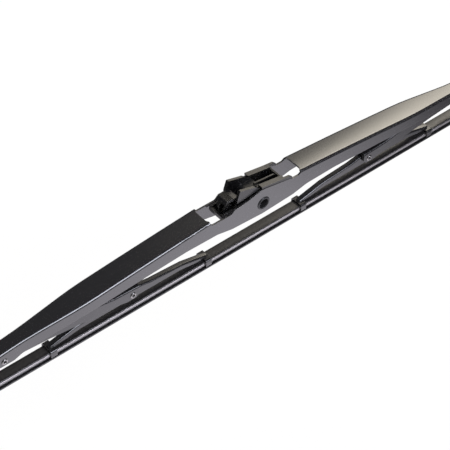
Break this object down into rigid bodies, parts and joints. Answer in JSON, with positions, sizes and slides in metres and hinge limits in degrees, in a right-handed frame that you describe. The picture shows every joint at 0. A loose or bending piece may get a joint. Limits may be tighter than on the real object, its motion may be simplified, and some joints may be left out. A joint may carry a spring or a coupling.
{
  "type": "windscreen wiper blade",
  "caption": "Metal-frame windscreen wiper blade: a folded main bridge with a hook adapter, sprung yokes and claws that press a rubber wiping strip on the glass.",
  "frame": {"origin": "centre of the cross bush's bore, halfway between the bridge walls", "axes": "+X along the blade, with the thumb latch at -X; +Y across it along the bush; +Z away from the glass"},
  "size_m": [0.66, 0.0172, 0.0573],
  "materials": {
    "painted_steel": "satin black paint",
    "rivet_steel": "dull zinc",
    "liner_plastic": "matte",
    "adapter_plastic": "satin",
    "rubber": "satin",
    "rail_steel": "bright"
  },
  "bodies": {
    "bridge": {"main_bridge": "painted_steel", "centre_bush": "rivet_steel", "rubber_element": "rubber", "steel_rail_front": "rail_steel", "steel_rail_back": "rail_steel", "pivot_rivet_left": "rivet_steel", "pivot_rivet_right": "rivet_steel", "pivot_liner_left": "liner_plastic", "pivot_liner_right": "liner_plastic"},
    "adapter": {"hook_adapter": "adapter_plastic"},
    "secondary_left": {"secondary_yoke_left": "painted_steel", "claw_rivet_left_inner": "rivet_steel", "claw_rivet_left_outer": "rivet_steel", "claw_liner_left_inner": "liner_plastic", "claw_liner_left_outer": "liner_plastic"},
    "secondary_right": {"secondary_yoke_right": "painted_steel", "claw_rivet_right_inner": "rivet_steel", "claw_rivet_right_outer": "rivet_steel", "claw_liner_right_inner": "liner_plastic", "claw_liner_right_outer": "liner_plastic"},
    "claws_left_inner": {"claw_yoke_left_inner": "painted_steel"},
    "claws_left_outer": {"claw_yoke_left_outer": "painted_steel"},
    "claws_right_inner": {"claw_yoke_right_inner": "painted_steel"},
    "claws_right_outer": {"claw_yoke_right_outer": "painted_steel"}
  },
  "joints": [
    {"name": "adapter_pivot", "type": "hinge", "parent": "bridge", "child": "adapter", "pos_m": [0, 0, 0], "axis": [0, -1, 0], "range_deg": [0, 20]},
    {"name": "secondary_pivot_left", "type": "hinge", "parent": "bridge", "child": "secondary_left", "pos_m": [-0.181, 0, -0.0116], "axis": [0, 1, 0], "range_deg": [-5, 5], "stiffness_Nm_per_rad": 0.3, "deforming": ["rubber_element", "steel_rail_front", "steel_rail_back"]},
    {"name": "secondary_pivot_right", "type": "hinge", "parent": "bridge", "child": "secondary_right", "pos_m": [0.181, 0, -0.0116], "axis": [0, 1, 0], "range_deg": [-5, 5], "stiffness_Nm_per_rad": 0.3, "deforming": ["rubber_element", "steel_rail_front", "steel_rail_back"]},
    {"name": "claw_pivot_left_inner", "type": "hinge", "parent": "secondary_left", "child": "claws_left_inner", "pos_m": [-0.09375, 0, -0.0198], "axis": [0, 1, 0], "range_deg": [-4, 4], "stiffness_Nm_per_rad": 0.3, "deforming": ["rubber_element", "steel_rail_front", "steel_rail_back"]},
    {"name": "claw_pivot_left_outer", "type": "hinge", "parent": "secondary_left", "child": "claws_left_outer", "pos_m": [-0.26825, 0, -0.0198], "axis": [0, 1, 0], "range_deg": [-4, 4], "stiffness_Nm_per_rad": 0.3, "deforming": ["rubber_element", "steel_rail_front", "steel_rail_back"]},
    {"name": "claw_pivot_right_inner", "type": "hinge", "parent": "secondary_right", "child": "claws_right_inner", "pos_m": [0.09375, 0, -0.0198], "axis": [0, 1, 0], "range_deg": [-4, 4], "stiffness_Nm_per_rad": 0.3, "deforming": ["rubber_element", "steel_rail_front", "steel_rail_back"]},
    {"name": "claw_pivot_right_outer", "type": "hinge", "parent": "secondary_right", "child": "claws_right_outer", "pos_m": [0.26825, 0, -0.0198], "axis": [0, 1, 0], "range_deg": [-4, 4], "stiffness_Nm_per_rad": 0.3, "deforming": ["rubber_element", "steel_rail_front", "steel_rail_back"]}
  ]
}
